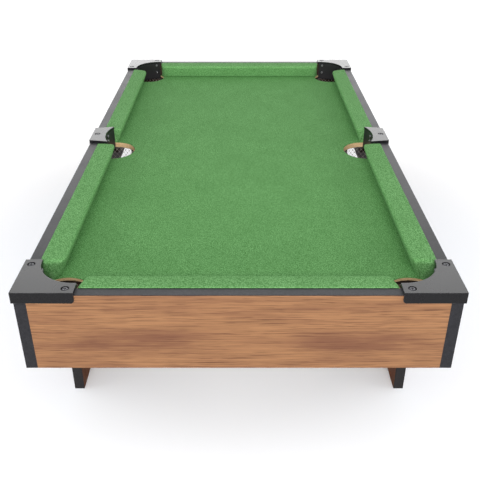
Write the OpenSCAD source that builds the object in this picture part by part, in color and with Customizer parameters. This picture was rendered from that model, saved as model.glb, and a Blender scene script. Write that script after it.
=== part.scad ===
// Tabletop pool table: a board cabinet on four short legs, a cloth-covered playfield,
// six wrapped cushions and six pockets with caps, liners and hanging nets.
// Millimetres. The origin is on the floor under the middle of the table, Y runs along its
// length, and the front end is at -Y.

/* [Cabinet] */
// Length of the table over its boards
table_l = 914; // [840:2:1000]
// Width of the table over its boards
table_w = 477; // [440:1:560]
// Height of the side and end panels
panel_h = 99; // [92:1:125]
// Height of the panels' lower edge above the floor
leg_clear = 137; // [90:1:200]
// Thickness of the panel and leg boards
board_t = 13; // [12:0.5:16]
// Thickness of the edge band on the boards' cut edges
band_t = 0.8; // [0.4:0.1:1.5]

/* [Playfield] */
// Depth of the playing surface below the boards' top edges
field_drop = 24.5; // [23:0.5:28]
// Thickness of the playfield board
field_t = 8; // [7:0.5:12]
// Thickness of the cloth on the playfield and the cushions
cloth_t = 1; // [0.6:0.1:1.4]
// Gap left round pieces that drop in between others
fit_gap = 0.3; // [0.2:0.05:0.5]

/* [Cushions] */
// Width of a cushion from the panel to its nose
cushion_w = 26.5; // [24:0.5:30]
// Width of a cushion where it meets the playfield
cushion_foot = 19; // [16:0.5:22]
// Height of a cushion's back edge above the boards
cushion_crown = 1.2; // [0.4:0.1:2]
// Fall of a cushion's top from its back edge to its nose
cushion_fall = 1; // [0.6:0.1:4]
// Radius of a cushion's nose
nose_r = 4; // [3.2:0.1:5.5]
// Width of the wooden rail inside a cushion
rail_w = 13; // [10:0.5:15]
// Slant of a cushion's end at a corner pocket
corner_mitre = 6; // [3:0.5:12]
// Slant of a cushion's end at a side pocket
side_mitre = 0.5; // [0:0.5:3]
// Gap between a cushion's end and the pocket cap
end_gap = 0.5; // [0.3:0.1:1.5]

/* [Pockets] */
// Radius of the arc cut into a corner cap
corner_mouth_r = 45; // [42:0.5:48]
// Half the length of a side pocket's mouth
side_half = 33; // [31:0.5:36]
// Depth of the arc cut into a side cap
side_sag = 7.9; // [6:0.1:9]
// Radius of the corner holes in the playfield
corner_hole_r = 30.5; // [30:0.1:32]
// Distance of a corner hole's axis from the panels' inner faces
corner_hole_in = 28.5; // [27.5:0.5:29.5]
// Radius of the side holes in the playfield
side_hole_r = 36.2; // [34:0.1:38]
// Distance of a side hole's axis from the panel's inner face
side_hole_in = 15.6; // [14:0.2:19]

/* [Pocket caps] */
// Thickness of a cap's plate
cap_t = 4; // [3.5:0.1:6]
// Thickness of a cap's lip, which stands outside the boards
cap_over = 2; // [1.2:0.1:3]
// Depth of a cap's lip below the boards' top edges
cap_lip = 9.3; // [7:0.1:12]
// Radius of the rounded lower corners of a lip
lip_round = 3.5; // [2:0.1:5]
// Straight run of a corner cap past its arc
cap_end = 3; // [2:0.1:5]
// Widening of a side cap from its lip to its tips, at each end
side_flare = 5.5; // [2:0.1:8]
// Distance of a cap's screws from the table's corner
cap_screw_in = 55; // [52:0.5:58]

/* [Pocket liners] */
// Thickness of a liner's wall
liner_t = 2.5; // [1.5:0.1:3]
// Gap between the panel and the end of a corner liner
liner_gap = 1.2; // [0.8:0.1:2]
// Gap between the panel and the middle of a side liner
side_liner_gap = 4.2; // [2:0.1:6]
// Depth of a liner's upper screws below the boards' top edges
liner_screw_top = 4.5; // [4:0.5:7]
// Distance from the upper to the lower screws of a corner liner
corner_screw_step = 15; // [10:0.5:18]
// Distance from the upper to the lower screws of a side liner
side_screw_step = 8; // [7:0.5:16]
// Distance of a side liner's screws from the middle of the table
side_screw_at = 11; // [7:0.5:14]

/* [Pocket nets] */
// Depth of a net below the playfield board
net_drop = 63; // [50:1:80]
// Thickness of a net's cord
net_t = 1.2; // [0.8:0.1:2]
// How much wider a net's mouth is than its hole, at each side
net_margin = 1.5; // [1:0.1:2.5]
// Width of the flat hem round a net's mouth
net_hem = 7; // [6:0.5:9]

/* [Underframe] */
// Width of the cleats under the playfield board
cleat_w = 15; // [12:0.5:18]
// Height of the cleats under the playfield board
cleat_h = 15; // [12:0.5:18]
// Gap between a cleat's end and a net's hem
cleat_gap = 3; // [2:0.5:10]
// Width of a cross batten
batten_w = 40; // [25:1:60]
// Thickness of a cross batten
batten_t = 12; // [8:0.5:14]
// Distance of a cross batten's middle from the middle of the table
batten_at = 150; // [90:1:180]

/* [Legs] */
// Width of a leg
leg_w = 77; // [60:1:100]
// Distance of a leg from the end of the table
leg_in = 116; // [112:1:130]
// Distance between a leg's two bolts
bolt_step = 44; // [30:1:50]

/* [Fasteners] */
// Shank diameter of a cap screw
cap_screw_d = 3.5; // [3:0.1:4]
// Head diameter of a cap screw
cap_head_d = 8; // [7:0.1:9]
// Head height of the cap screws
cap_head_h = 2.2; // [1.5:0.1:2.5]
// Length of a cap screw in the board
cap_screw_l = 16; // [12:0.5:20]
// Shank diameter of a liner screw
liner_screw_d = 2.6; // [2.5:0.1:3.2]
// Head diameter of a liner screw
liner_head_d = 4.8; // [4.6:0.1:6]
// Head height of a liner screw
liner_head_h = 1.4; // [1:0.1:2]
// Length of a liner screw in the board
liner_screw_l = 3.8; // [3:0.1:4.2]
// Shank diameter of a leg bolt
bolt_d = 6; // [5:0.5:8]
// Head diameter of a leg bolt
bolt_head_d = 13; // [11:0.5:15]
// Head height of a leg bolt
bolt_head_h = 4; // [3:0.5:5]
// Length of a leg bolt in the side panel
bolt_l = 9; // [7:0.5:10]
// Shank diameter of a frame screw in the end panel
frame_screw_d = 5; // [4:0.5:5.5]
// Length of a frame screw in the end panel
frame_screw_l = 34; // [25:1:40]
// Height of the lower frame screws above the panels' lower edge
frame_screw_in = 20; // [12:1:22]
// Depth of the upper frame screws below the boards' top edges
frame_screw_top = 36.5; // [32:0.5:42]
// Shank diameter of the cleat and rail screws
wood_screw_d = 4; // [3:0.1:4.5]
// Head diameter of the cleat and rail screws
wood_head_d = 7.5; // [6:0.1:8]
// Length of a cleat screw in the panel
cleat_screw_l = 9; // [7:0.5:10]
// Length of a rail screw in the wooden rail
rail_screw_l = 12; // [8:0.5:15]
// Distance of a rail screw from the cleat's end
rail_screw_in = 14; // [10:1:16]
// Distance of a cleat screw from the cleat's end
cleat_screw_in = 44; // [30:1:60]
// Shank diameter of a net screw
net_screw_d = 2.4; // [2:0.1:3]
// Head diameter of a net screw
net_head_d = 5; // [4:0.1:5.4]
// Head height of a net screw
net_head_h = 1.5; // [1:0.1:2]
// Length of a net screw in the playfield board
net_screw_l = 5; // [4:0.5:6]

/* [Hidden] */
$fn = 64;
// Clearance between a shank and its hole, at each side
hole_gap = 0.1;
// Clearance round a sunk head, at each side
head_gap = 0.5;
// Length by which a cut runs past a face
past = 1;
// Shift that keeps two cut faces out of one plane
hair = 0.01;
// Facets of the shanks and heads, and of the wide side arcs
small_fn = 32;
wide_fn = 128;
// Depth of a cap screw's head below the cap's face
head_sunk = 0.2;
// Clearance of the rubber inside its cloth
rubber_gap = 0.2;
// Margin between a net screw's head and the hem's outer edge
hem_edge = 0.7;
// Distance by which a liner stands back behind the cap's arc
liner_lap = 0.3;
// How much wider a liner's boss is than the screw head on it
boss_more = 1;
// Squareness of a net's hanging curve, and the steps it is drawn in
net_power = 2.6;
net_steps = 10;
// Parts of a pan head: the height of its rim, the width of its top and the depth, length and
// width of its cross recess, as shares of the head
rim_share = 0.6;
crown_share = 0.7;
recess_share = 0.55;
arm_share = 0.6;
slot_share = 0.14;
// Diameter of a screw's tip
tip_d = 0.4;

// Heights of the main levels
top_z = leg_clear + panel_h;
field_z = top_z - field_drop;
board_top = field_z - cloth_t;
board_low = board_top - field_t;
cleat_low = board_low - cleat_h;
leg_top = cleat_low - fit_gap;

// Half sizes of the cabinet, outside and inside
half_w = table_w / 2;
half_l = table_l / 2;
inner_w = half_w - board_t;
inner_l = half_l - board_t;

// Corner pockets, measured from the outer corner of the boards
arm_w = board_t + liner_gap + liner_t + liner_lap;
mouth_at = arm_w + corner_mouth_r;
cap_arm = mouth_at + cap_end;
corner_hole_at = board_t + corner_hole_in;
corner_cut = cap_arm + 2 * past;
corner_cut_w = arm_w + cap_end;
cap_seat = cap_t - cap_head_h - head_sunk;

// Distance from a panel to the inside of a corner liner at its screws
corner_stand = mouth_at - board_t
    - sqrt(pow(corner_mouth_r + liner_lap, 2) - pow(mouth_at - cap_screw_in, 2));

// Side pockets, measured from the outer face of the side panel
side_deep = board_t + side_liner_gap + liner_t + liner_lap;
side_arc_r = (side_half * side_half + side_sag * side_sag) / (2 * side_sag);
side_arc_at = side_deep + side_arc_r;
side_tip = side_deep + side_sag;
side_hole_at = board_t + side_hole_in;

// Distance from a panel to the inside of a side liner at its screws
side_stand = side_liner_gap + liner_t
    + side_arc_r - sqrt(side_arc_r * side_arc_r - side_screw_at * side_screw_at);

// Cushions: local x runs along the panel, y into the table and z up from the cloth
cushion_h = field_drop + cushion_crown;
nose_h = cushion_h - cushion_fall - nose_r;
end_run = half_w - cap_arm - end_gap;
side_from = side_half + end_gap;
side_to = half_l - cap_arm - end_gap;

// Nets and cleats
corner_net_r = corner_hole_r + net_margin;
side_net_r = side_hole_r + net_margin;
net_screw_out = net_hem - net_head_d / 2 - hem_edge;
corner_clear = corner_hole_at + corner_net_r + net_hem + cleat_gap;
side_clear = side_net_r + net_hem + cleat_gap;
end_cleat_run = half_w - corner_clear;
side_cleat_from = side_clear;
side_cleat_to = half_l - corner_clear;

// Fasteners
frame_zs = [leg_clear + frame_screw_in, top_z - frame_screw_top];
rail_screw_y = rail_w / 2;
rail_screw_full = cleat_h + field_t + cloth_t + rail_screw_l;
cleat_mid = field_z - cleat_low - cleat_h / 2;
leg_mid = -half_l + leg_in + leg_w / 2;
bolt_z = (leg_clear + leg_top) / 2;
corner_net_angles = [-15, 25, 65, 105];
side_net_angles = [-70, -24, 24, 70];

// Placing

// Puts a shape drawn at the front left corner of the boards at one of the four corners
module at_corner(right, rear)
    mirror([right, 0, 0]) mirror([0, rear, 0]) translate([-half_w, -half_l, 0]) children();

// Puts a shape drawn at the middle of the left side panel at that side or the other
module at_side(right) mirror([right, 0, 0]) translate([-half_w, 0, 0]) children();

// Repeats a shape at all four corners
module every_corner()
    for (right = [0, 1], rear = [0, 1]) at_corner(right, rear) children();

// Repeats a shape at both side pockets
module every_side() for (right = [0, 1]) at_side(right) children();

// Stands a shape in cushion coordinates against an end panel
module against_end(rear)
    rotate([0, 0, 180 * rear]) translate([0, -inner_l, field_z]) children();

// Stands a shape in cushion coordinates against one half of a side panel
module against_side(right, rear)
    mirror([right, 0, 0]) mirror([0, rear, 0])
        translate([-inner_w, 0, field_z]) rotate([0, 0, -90]) children();

// A cylinder from a point along +x of the local frame
module along_x(r, l) rotate([0, 90, 0]) cylinder(r = r, h = l);

// A cylinder from a point along +y of the local frame
module along_y(r, l) rotate([-90, 0, 0]) cylinder(r = r, h = l);

// Screws, drawn with the head's seat at z = 0 and the shank going down

// A shank with a cone point, run a hair into the head above it
module shank(d, l) {
    translate([0, 0, -l + d / 2]) cylinder(d = d, h = l - d / 2 + hair, $fn = small_fn);
    translate([0, 0, -l]) cylinder(d1 = tip_d, d2 = d, h = d / 2 + hair, $fn = small_fn);
}

// The cross recess of a screw head of one diameter
module cross_cut(head_d, depth) {
    arm = head_d * arm_share;
    slot = head_d * slot_share;
    for (turn = [0, 90])
        rotate([0, 0, turn]) translate([-arm / 2, -slot / 2, -depth])
            cube([arm, slot, depth + past]);
}

// A pan-head screw
module pan_screw(d, l, head_d, head_h) {
    rim = head_h * rim_share;
    shank(d, l);
    difference() {
        union() {
            cylinder(d = head_d, h = rim, $fn = small_fn);
            translate([0, 0, rim])
                cylinder(d1 = head_d, d2 = head_d * crown_share, h = head_h - rim,
                    $fn = small_fn);
        }
        translate([0, 0, head_h]) cross_cut(head_d, head_h * recess_share);
    }
}

// A flat-head screw, with its head's face at z = 0
module flat_screw(d, l, head_d) {
    cone = (head_d - d) / 2;
    difference() {
        translate([0, 0, -cone]) {
            shank(d, l - cone);
            cylinder(d1 = d, d2 = head_d, h = cone, $fn = small_fn);
        }
        cross_cut(head_d, cone * recess_share);
    }
}

// The hole that a flat-head screw sits in
module flat_hole(d, l, head_d) {
    hole_d = d + 2 * hole_gap;
    wide_d = head_d + 2 * hole_gap;
    cone = (wide_d - hole_d) / 2;
    screw_pilot(d, l);
    translate([0, 0, -cone]) cylinder(d1 = hole_d, d2 = wide_d, h = cone, $fn = small_fn);
    cylinder(d = wide_d, h = past, $fn = small_fn);
}

// A hole for a shank of one length below z = 0, open a little above it
module screw_pilot(d, l)
    translate([0, 0, -l - hole_gap])
        cylinder(d = d + 2 * hole_gap, h = l + hole_gap + past, $fn = small_fn);

// Screw places

// The tops of the boards under the two screws of each corner cap
module cap_screw_places() {
    every_corner() for (p = [[cap_screw_in, board_t / 2], [board_t / 2, cap_screw_in]])
        translate([p[0], p[1], top_z]) children();
    every_side() translate([board_t / 2, 0, top_z]) children();
}

// The panels' inner faces behind a corner liner's screws, with the shanks going into them
module corner_liner_screw_places() {
    for (step = [0, corner_screw_step], turn = [0, 1])
        mirror([turn, -turn, 0])
            translate([cap_screw_in, board_t, top_z - liner_screw_top - step])
                rotate([-90, 0, 0]) children();
}

// The panel's inner face behind a side liner's screws
module side_liner_screw_places() {
    for (step = [0, side_screw_step], side = [-1, 1])
        translate([board_t, side * side_screw_at, top_z - liner_screw_top - step])
            rotate([0, 90, 0]) children();
}

// The two bolts of the front left leg, with their shanks going into the panel
module bolt_places() {
    for (side = [-1, 1])
        translate([-inner_w, leg_mid + side * bolt_step / 2, bolt_z])
            rotate([0, 90, 0]) children();
}

// The frame screws of the front left corner, with their shanks going along +x
module frame_screw_places()
    for (z = frame_zs) translate([0, board_t / 2, z]) rotate([0, -90, 0]) children();

// The screws of one end cleat, in cushion coordinates
module end_cleat_screw_places() {
    for (side = [-1, 1])
        translate([side * (end_cleat_run - cleat_screw_in), cleat_w, -cleat_mid])
            rotate([-90, 0, 0]) children();
}

// The screws of one side cleat, in cushion coordinates
module side_cleat_screw_places() {
    for (x = [side_cleat_from + cleat_screw_in, side_cleat_to - cleat_screw_in])
        translate([x, cleat_w, -cleat_mid]) rotate([-90, 0, 0]) children();
}

// The screws that rise through a cleat and the board into an end rail
module end_rail_screw_places() {
    for (x = [-end_cleat_run + rail_screw_in, 0, end_cleat_run - rail_screw_in])
        translate([x, rail_screw_y, cleat_low - field_z]) rotate([180, 0, 0]) children();
}

// The screws that rise through a cleat and the board into a side rail
module side_rail_screw_places() {
    first = side_cleat_from + rail_screw_in;
    last = side_cleat_to - rail_screw_in;
    for (x = [first, (first + last) / 2, last])
        translate([x, rail_screw_y, cleat_low - field_z]) rotate([180, 0, 0]) children();
}

// A shape at every rail screw of the table
module rail_screw_places() {
    for (rear = [0, 1]) against_end(rear) end_rail_screw_places() children();
    for (right = [0, 1], rear = [0, 1])
        against_side(right, rear) side_rail_screw_places() children();
}

// The holes of all rail screws
module rail_screw_holes()
    rail_screw_places() flat_hole(wood_screw_d, rail_screw_full, wood_head_d);

// The net screws of a corner pocket, with their shanks going up into the board
module corner_net_screw_places() {
    for (a = corner_net_angles)
        translate([corner_hole_at, corner_hole_at, board_low - net_t]) rotate([0, 0, a])
            translate([corner_net_r + net_screw_out, 0, 0]) rotate([180, 0, 0]) children();
}

// The net screws of a side pocket
module side_net_screw_places() {
    for (a = side_net_angles)
        translate([side_hole_at, 0, board_low - net_t]) rotate([0, 0, a])
            translate([side_net_r + net_screw_out, 0, 0]) rotate([180, 0, 0]) children();
}

// Cabinet

// The left side panel; the holes of its front half are copied to its rear half
module side_panel() {
    color([0.69, 0.51, 0.38]) difference() {
        translate([-half_w, -half_l + band_t, leg_clear])
            cube([board_t, table_l - 2 * band_t, panel_h - band_t]);
        for (rear = [0, 1]) mirror([0, rear, 0]) {
            translate([-half_w, -half_l, 0]) {
                frame_screw_places()
                    flat_hole(frame_screw_d, board_t + past, 2 * frame_screw_d);
                corner_liner_screw_places() screw_pilot(liner_screw_d, liner_screw_l);
            }
            bolt_places() screw_pilot(bolt_d, bolt_l);
            against_side(0, 0) side_cleat_screw_places()
                screw_pilot(wood_screw_d, cleat_w + cleat_screw_l);
        }
        at_side(0) side_liner_screw_places() screw_pilot(liner_screw_d, liner_screw_l);
        cap_screw_places() screw_pilot(cap_screw_d, cap_screw_l);
    }
}

// The front end panel
module end_panel() {
    color([0.69, 0.51, 0.38]) difference() {
        translate([-inner_w, -half_l, leg_clear])
            cube([2 * inner_w, board_t, panel_h - band_t]);
        for (right = [0, 1]) at_corner(right, 0) {
            frame_screw_places() screw_pilot(frame_screw_d, board_t + frame_screw_l);
            corner_liner_screw_places() screw_pilot(liner_screw_d, liner_screw_l);
        }
        cap_screw_places() screw_pilot(cap_screw_d, cap_screw_l);
        against_end(0) end_cleat_screw_places()
            screw_pilot(wood_screw_d, cleat_w + cleat_screw_l);
    }
}

// The band over a side panel's top and both its ends
module side_band() {
    color([0.30, 0.30, 0.32]) difference() {
        translate([-half_w, -half_l, leg_clear]) cube([board_t, table_l, panel_h]);
        translate([-half_w - past, -half_l + band_t, leg_clear - past])
            cube([board_t + 2 * past, table_l - 2 * band_t, panel_h - band_t + past]);
        band_holes();
    }
}

// The band along an end panel's top
module end_band() {
    color([0.30, 0.30, 0.32]) difference() {
        translate([-inner_w, -half_l, top_z - band_t]) cube([2 * inner_w, board_t, band_t]);
        band_holes();
    }
}

// The cap screws' way through the bands
module band_holes()
    cap_screw_places() screw_pilot(cap_screw_d, band_t + past);

// Playfield

// One corner hole, measured from the corner of the boards: a round, and the cut along both
// panels that the liner goes down through
module corner_hole(z, h) {
    translate([corner_hole_at, corner_hole_at, z]) cylinder(r = corner_hole_r, h = h);
    translate([0, 0, z]) cube([corner_hole_at, corner_hole_at, h]);
    translate([0, 0, z]) cube([corner_cut, corner_cut_w, h]);
    translate([0, 0, z]) cube([corner_cut_w, corner_cut, h]);
}

// The holes of all six pockets
module pocket_holes(z, h) {
    every_corner() corner_hole(z, h);
    every_side() translate([side_hole_at, 0, z]) cylinder(r = side_hole_r, h = h);
}

// A sheet between the panels at one level, less the pocket holes
module field_sheet(z, h) {
    difference() {
        translate([-inner_w + fit_gap, -inner_l + fit_gap, z])
            cube([2 * (inner_w - fit_gap), 2 * (inner_l - fit_gap), h]);
        pocket_holes(z - past, h + 2 * past);
        rail_screw_holes();
    }
}

module playfield_board() {
    color([0.76, 0.62, 0.42]) difference() {
        field_sheet(board_low, field_t);
        every_corner() corner_net_screw_places()
            screw_pilot(net_screw_d, net_t + net_screw_l);
        every_side() side_net_screw_places() screw_pilot(net_screw_d, net_t + net_screw_l);
    }
}

module playfield_cloth() color([0.32, 0.52, 0.30]) field_sheet(board_top, cloth_t);

// Cushions

// A cushion's cross section, drawn in by a margin from the outer face of its cloth
module cushion_section(margin) {
    r = nose_r - margin;
    low = atan2(nose_h, cushion_w - nose_r - cushion_foot);
    swing = 90 - low + asin(nose_r / norm([nose_h, cushion_w - nose_r - cushion_foot]));
    foot = cushion_foot - margin / cos(swing);
    fall = atan2(cushion_fall, cushion_w - nose_r);
    middle = [cushion_w - nose_r, nose_h];
    polygon([[0, 0], [foot, 0], middle + r * [cos(swing), -sin(swing)], middle,
        middle + r * [sin(fall), cos(fall)],
        [0, cushion_h - margin - margin * tan(fall) / 2]]);
    translate(middle) circle(r = r);
}

// A length of a cushion's section from one place to another along the panel, with its two
// ends slanted back towards the nose and drawn in by the same margin
module cushion_length(margin, from, to, from_slant, to_slant) {
    intersection() {
        translate([from, 0, 0]) rotate([90, 0, 90])
            linear_extrude(height = to - from) cushion_section(margin);
        translate([0, 0, -past]) linear_extrude(height = cushion_h + 2 * past)
            polygon([[from + margin, 0], [to - margin, 0],
                [to - margin - to_slant, cushion_w], [from + margin + from_slant, cushion_w]]);
    }
}

// An end cushion and a side cushion: the places of the two ends and their slants
end_cushion = [-end_run, end_run, corner_mitre, corner_mitre];
side_cushion = [side_from, side_to, side_mitre, corner_mitre];

// The wooden rail: the part inside the cloth that lies against the panel
module rail(run) {
    intersection() {
        cushion_length(cloth_t, run[0], run[1], run[2], run[3]);
        translate([run[0], 0, 0]) cube([run[1] - run[0], rail_w, cushion_h]);
    }
}

// The rubber: the part inside the cloth that ends in the nose
module rubber(run) {
    color([0.15, 0.15, 0.15]) intersection() {
        cushion_length(cloth_t + rubber_gap, run[0], run[1], run[2], run[3]);
        translate([run[0], rail_w, 0]) cube([run[1] - run[0], cushion_w, cushion_h]);
    }
}

// The cloth round a cushion: open at the panel and under the foot
module cushion_cloth(run) {
    color([0.42, 0.62, 0.39]) difference() {
        cushion_length(0, run[0], run[1], run[2], run[3]);
        translate([0, 0, -hair]) cushion_length(cloth_t, run[0], run[1], run[2], run[3]);
        translate([run[0], -past, -past])
            cube([run[1] - run[0], past, cushion_h + 2 * past]);
    }
}

// Rails with the holes of their screws
module end_rail(rear) {
    color([0.80, 0.66, 0.46]) against_end(rear) difference() {
        rail(end_cushion);
        end_rail_screw_places() flat_hole(wood_screw_d, rail_screw_full, wood_head_d);
    }
}

module side_rail(right, rear) {
    color([0.80, 0.66, 0.46]) against_side(right, rear) difference() {
        rail(side_cushion);
        side_rail_screw_places() flat_hole(wood_screw_d, rail_screw_full, wood_head_d);
    }
}

// Pocket caps

// A lip's outline along its board and upwards, with its free lower corners rounded
module lip_outline(from, to, round_from) {
    difference() {
        translate([from, -cap_lip]) square([to - from, cap_lip + cap_t]);
        translate([to - lip_round, -cap_lip]) square(lip_round);
        if (round_from) translate([from, -cap_lip]) square(lip_round);
    }
    translate([to - lip_round, lip_round - cap_lip]) circle(r = lip_round);
    if (round_from) translate([from + lip_round, lip_round - cap_lip]) circle(r = lip_round);
}

// The through hole and the sunk seat of a cap's screw, over the board's top
module cap_screw_hole() {
    screw_pilot(cap_screw_d, past);
    cylinder(d = cap_screw_d + 2 * hole_gap, h = cap_t, $fn = small_fn);
    translate([0, 0, cap_seat]) cylinder(d = cap_head_d + 2 * head_gap, h = cap_t);
}

module corner_cap() {
    color([0.35, 0.35, 0.37]) difference() {
        union() {
            translate([-cap_over, -cap_over, top_z])
                cube([cap_arm + cap_over, cap_arm + cap_over, cap_t]);
            translate([0, 0, top_z]) rotate([90, 0, 0])
                linear_extrude(height = cap_over) lip_outline(-cap_over, cap_arm, false);
            translate([-cap_over, 0, top_z]) rotate([90, 0, 90])
                linear_extrude(height = cap_over) lip_outline(-cap_over, cap_arm, false);
        }
        translate([mouth_at, mouth_at, top_z - past])
            cylinder(r = corner_mouth_r, h = cap_t + 2 * past);
        for (turn = [0, 1]) mirror([turn, -turn, 0])
            translate([mouth_at, arm_w, top_z - past])
                cube([2 * cap_end, cap_arm, cap_t + 2 * past]);
        for (p = [[cap_screw_in, board_t / 2], [board_t / 2, cap_screw_in]])
            translate([p[0], p[1], top_z]) cap_screw_hole();
    }
}

module side_cap() {
    lip_half = side_half - side_flare;
    color([0.35, 0.35, 0.37]) difference() {
        union() {
            translate([0, 0, top_z]) linear_extrude(height = cap_t)
                polygon([[-cap_over, -lip_half], [side_tip, -side_half],
                    [side_tip, side_half], [-cap_over, lip_half]]);
            translate([-cap_over, 0, top_z]) rotate([90, 0, 90])
                linear_extrude(height = cap_over) lip_outline(-lip_half, lip_half, true);
        }
        translate([side_arc_at, 0, top_z - past])
            cylinder(r = side_arc_r, h = cap_t + 2 * past, $fn = wide_fn);
        translate([board_t / 2, 0, top_z]) cap_screw_hole();
    }
}

// Pocket liners

// A corner liner: a quarter of a tube from the cap down through the playfield, with bosses
// that reach the panels
module corner_liner() {
    color([0.13, 0.13, 0.14]) difference() {
        union() {
            difference() {
                translate([mouth_at, mouth_at, board_low])
                    cylinder(r = corner_mouth_r + liner_lap + liner_t, h = top_z - board_low);
                corner_liner_cut();
            }
            corner_liner_screw_places() liner_boss(corner_stand);
        }
        translate([mouth_at, mouth_at, board_low - past])
            cylinder(r = corner_mouth_r + liner_lap, h = top_z - board_low + 2 * past);
        corner_liner_screw_places() liner_screw_hole();
    }
}

// All of a corner liner's tube but the quarter behind the pocket
module corner_liner_cut() {
    span = 2 * (corner_mouth_r + liner_t + past);
    for (turn = [0, 1]) mirror([turn, -turn, 0])
        translate([mouth_at, 0, board_low - past])
            cube([span, mouth_at + span, top_z - board_low + 2 * past]);
}

// A boss from the panel out to a liner's inside, cut flush by the liner's bore
module liner_boss(stand)
    cylinder(d = liner_head_d + boss_more, h = stand, $fn = small_fn);

// A liner screw's way through its boss
module liner_screw_hole()
    translate([0, 0, -past])
        cylinder(d = liner_screw_d + 2 * hole_gap, h = 3 * side_deep, $fn = small_fn);

// The playfield round a side hole, with the hole a little too small
module side_liner_trim() {
    difference() {
        translate([-past, -half_l, board_low - past])
            cube([half_w, 2 * half_l, field_z - board_low + past]);
        translate([side_hole_at, 0, board_low - 2 * past])
            cylinder(r = side_hole_r - fit_gap, h = field_drop + 4 * past);
    }
}

// A side liner: a shallow arc from the cap down through the playfield, with bosses
module side_liner() {
    color([0.13, 0.13, 0.14]) difference() {
        union() {
            intersection() {
                translate([side_arc_at, 0, board_low])
                    cylinder(r = side_arc_r + liner_lap + liner_t, h = top_z - board_low,
                        $fn = wide_fn);
                translate([0, -side_half + fit_gap, board_low])
                    cube([side_tip, 2 * (side_half - fit_gap), top_z - board_low]);
            }
            side_liner_screw_places() liner_boss(side_stand);
        }
        translate([side_arc_at, 0, board_low - past])
            cylinder(r = side_arc_r + liner_lap, h = top_z - board_low + 2 * past,
                $fn = wide_fn);
        side_liner_screw_places() liner_screw_hole();
        side_liner_trim();
    }
}

// Pocket nets

// Radius of a net at a share of its depth
function net_bend(share) = pow(1 - pow(share, net_power), 1 / net_power);

// A net's outline from its mouth to its bottom, turned into a solid with a mouth at z = 0
module net_body(r, drop) {
    rotate_extrude() polygon(concat([[0, past], [r, past]],
        [for (i = [0:net_steps])
            let (share = sin(90 * i / net_steps)) [r * net_bend(share), -drop * share]]));
}

// A net bag: a thin cup with a flat hem under the board, flattened where it meets a panel
module net_bag(r, at, clip_y) {
    near = board_t + fit_gap;
    difference() {
        intersection() {
            translate([at[0], at[1], board_low]) {
                difference() {
                    net_body(r, net_drop);
                    cylinder(r = 2 * r, h = 2 * past);
                }
                translate([0, 0, -net_t]) cylinder(r = r + net_hem, h = net_t);
            }
            net_room(near, clip_y ? near : -2 * r - at[1]);
        }
        intersection() {
            translate([at[0], at[1], board_low]) net_body(r - net_t, net_drop - net_t);
            net_room(near + net_t, clip_y ? near + net_t : -2 * r - at[1]);
        }
    }
}

// The space inside the panels, from given distances inward
module net_room(x, y)
    translate([x, y, board_low - 2 * net_drop]) cube([half_w, half_l, 3 * net_drop]);

module corner_net() {
    color([0.72, 0.72, 0.70]) difference() {
        net_bag(corner_net_r, [corner_hole_at, corner_hole_at], true);
        corner_net_screw_places() screw_pilot(net_screw_d, 2 * net_t);
    }
}

module side_net() {
    color([0.72, 0.72, 0.70]) difference() {
        net_bag(side_net_r, [side_hole_at, 0], false);
        side_net_screw_places() screw_pilot(net_screw_d, 2 * net_t);
    }
}

// Underframe

// A cleat in cushion coordinates, from one place to another along the panel
module cleat(from, to)
    translate([from, 0, cleat_low - field_z]) cube([to - from, cleat_w, cleat_h]);

module playfield_cleats() {
    color([0.78, 0.64, 0.44]) {
        for (rear = [0, 1]) against_end(rear) difference() {
            cleat(-end_cleat_run, end_cleat_run);
            end_rail_screw_places() flat_hole(wood_screw_d, rail_screw_full, wood_head_d);
            end_cleat_screw_places()
                flat_hole(wood_screw_d, cleat_w + past, wood_head_d);
        }
        for (right = [0, 1], rear = [0, 1]) against_side(right, rear) difference() {
            cleat(side_cleat_from, side_cleat_to);
            side_rail_screw_places() flat_hole(wood_screw_d, rail_screw_full, wood_head_d);
            side_cleat_screw_places()
                flat_hole(wood_screw_d, cleat_w + past, wood_head_d);
        }
    }
}

module cross_battens() {
    run = inner_w - cleat_w - fit_gap;
    color([0.78, 0.64, 0.44]) for (side = [-1, 1])
        translate([-run, side * batten_at - batten_w / 2, board_low - batten_t])
            cube([2 * run, batten_w, batten_t]);
}

// Legs

// The front left leg
module leg() {
    color([0.45, 0.32, 0.24]) difference() {
        translate([-inner_w, -half_l + leg_in + band_t, 0])
            cube([board_t, leg_w - 2 * band_t, leg_top]);
        bolt_places()
            cylinder(d = bolt_d + 2 * hole_gap, h = board_t + past, $fn = small_fn);
    }
}

module leg_edge_bands() {
    color([0.15, 0.15, 0.16]) every_leg() for (y = [0, leg_w - band_t])
        translate([-inner_w, -half_l + leg_in + y, 0]) cube([board_t, band_t, leg_top]);
}

// Repeats a shape drawn for the front left leg at all four legs
module every_leg()
    for (right = [0, 1], rear = [0, 1]) mirror([right, 0, 0]) mirror([0, rear, 0]) children();

// Fasteners

module cap_screws()
    color([0.16, 0.16, 0.17]) cap_screw_places() translate([0, 0, cap_seat])
        pan_screw(cap_screw_d, cap_seat + cap_screw_l, cap_head_d, cap_head_h);

module liner_screws() {
    color([0.75, 0.75, 0.76]) {
        every_corner() corner_liner_screw_places() translate([0, 0, corner_stand])
            pan_screw(liner_screw_d, corner_stand + liner_screw_l, liner_head_d, liner_head_h);
        every_side() side_liner_screw_places() translate([0, 0, side_stand])
            pan_screw(liner_screw_d, side_stand + liner_screw_l, liner_head_d, liner_head_h);
    }
}

module leg_bolts() {
    color([0.16, 0.16, 0.17]) every_leg() bolt_places() translate([0, 0, board_t])
        pan_screw(bolt_d, board_t + bolt_l, bolt_head_d, bolt_head_h);
}

module frame_screws() {
    color([0.70, 0.70, 0.72]) every_corner() frame_screw_places()
        flat_screw(frame_screw_d, board_t + frame_screw_l, 2 * frame_screw_d);
}

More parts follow.
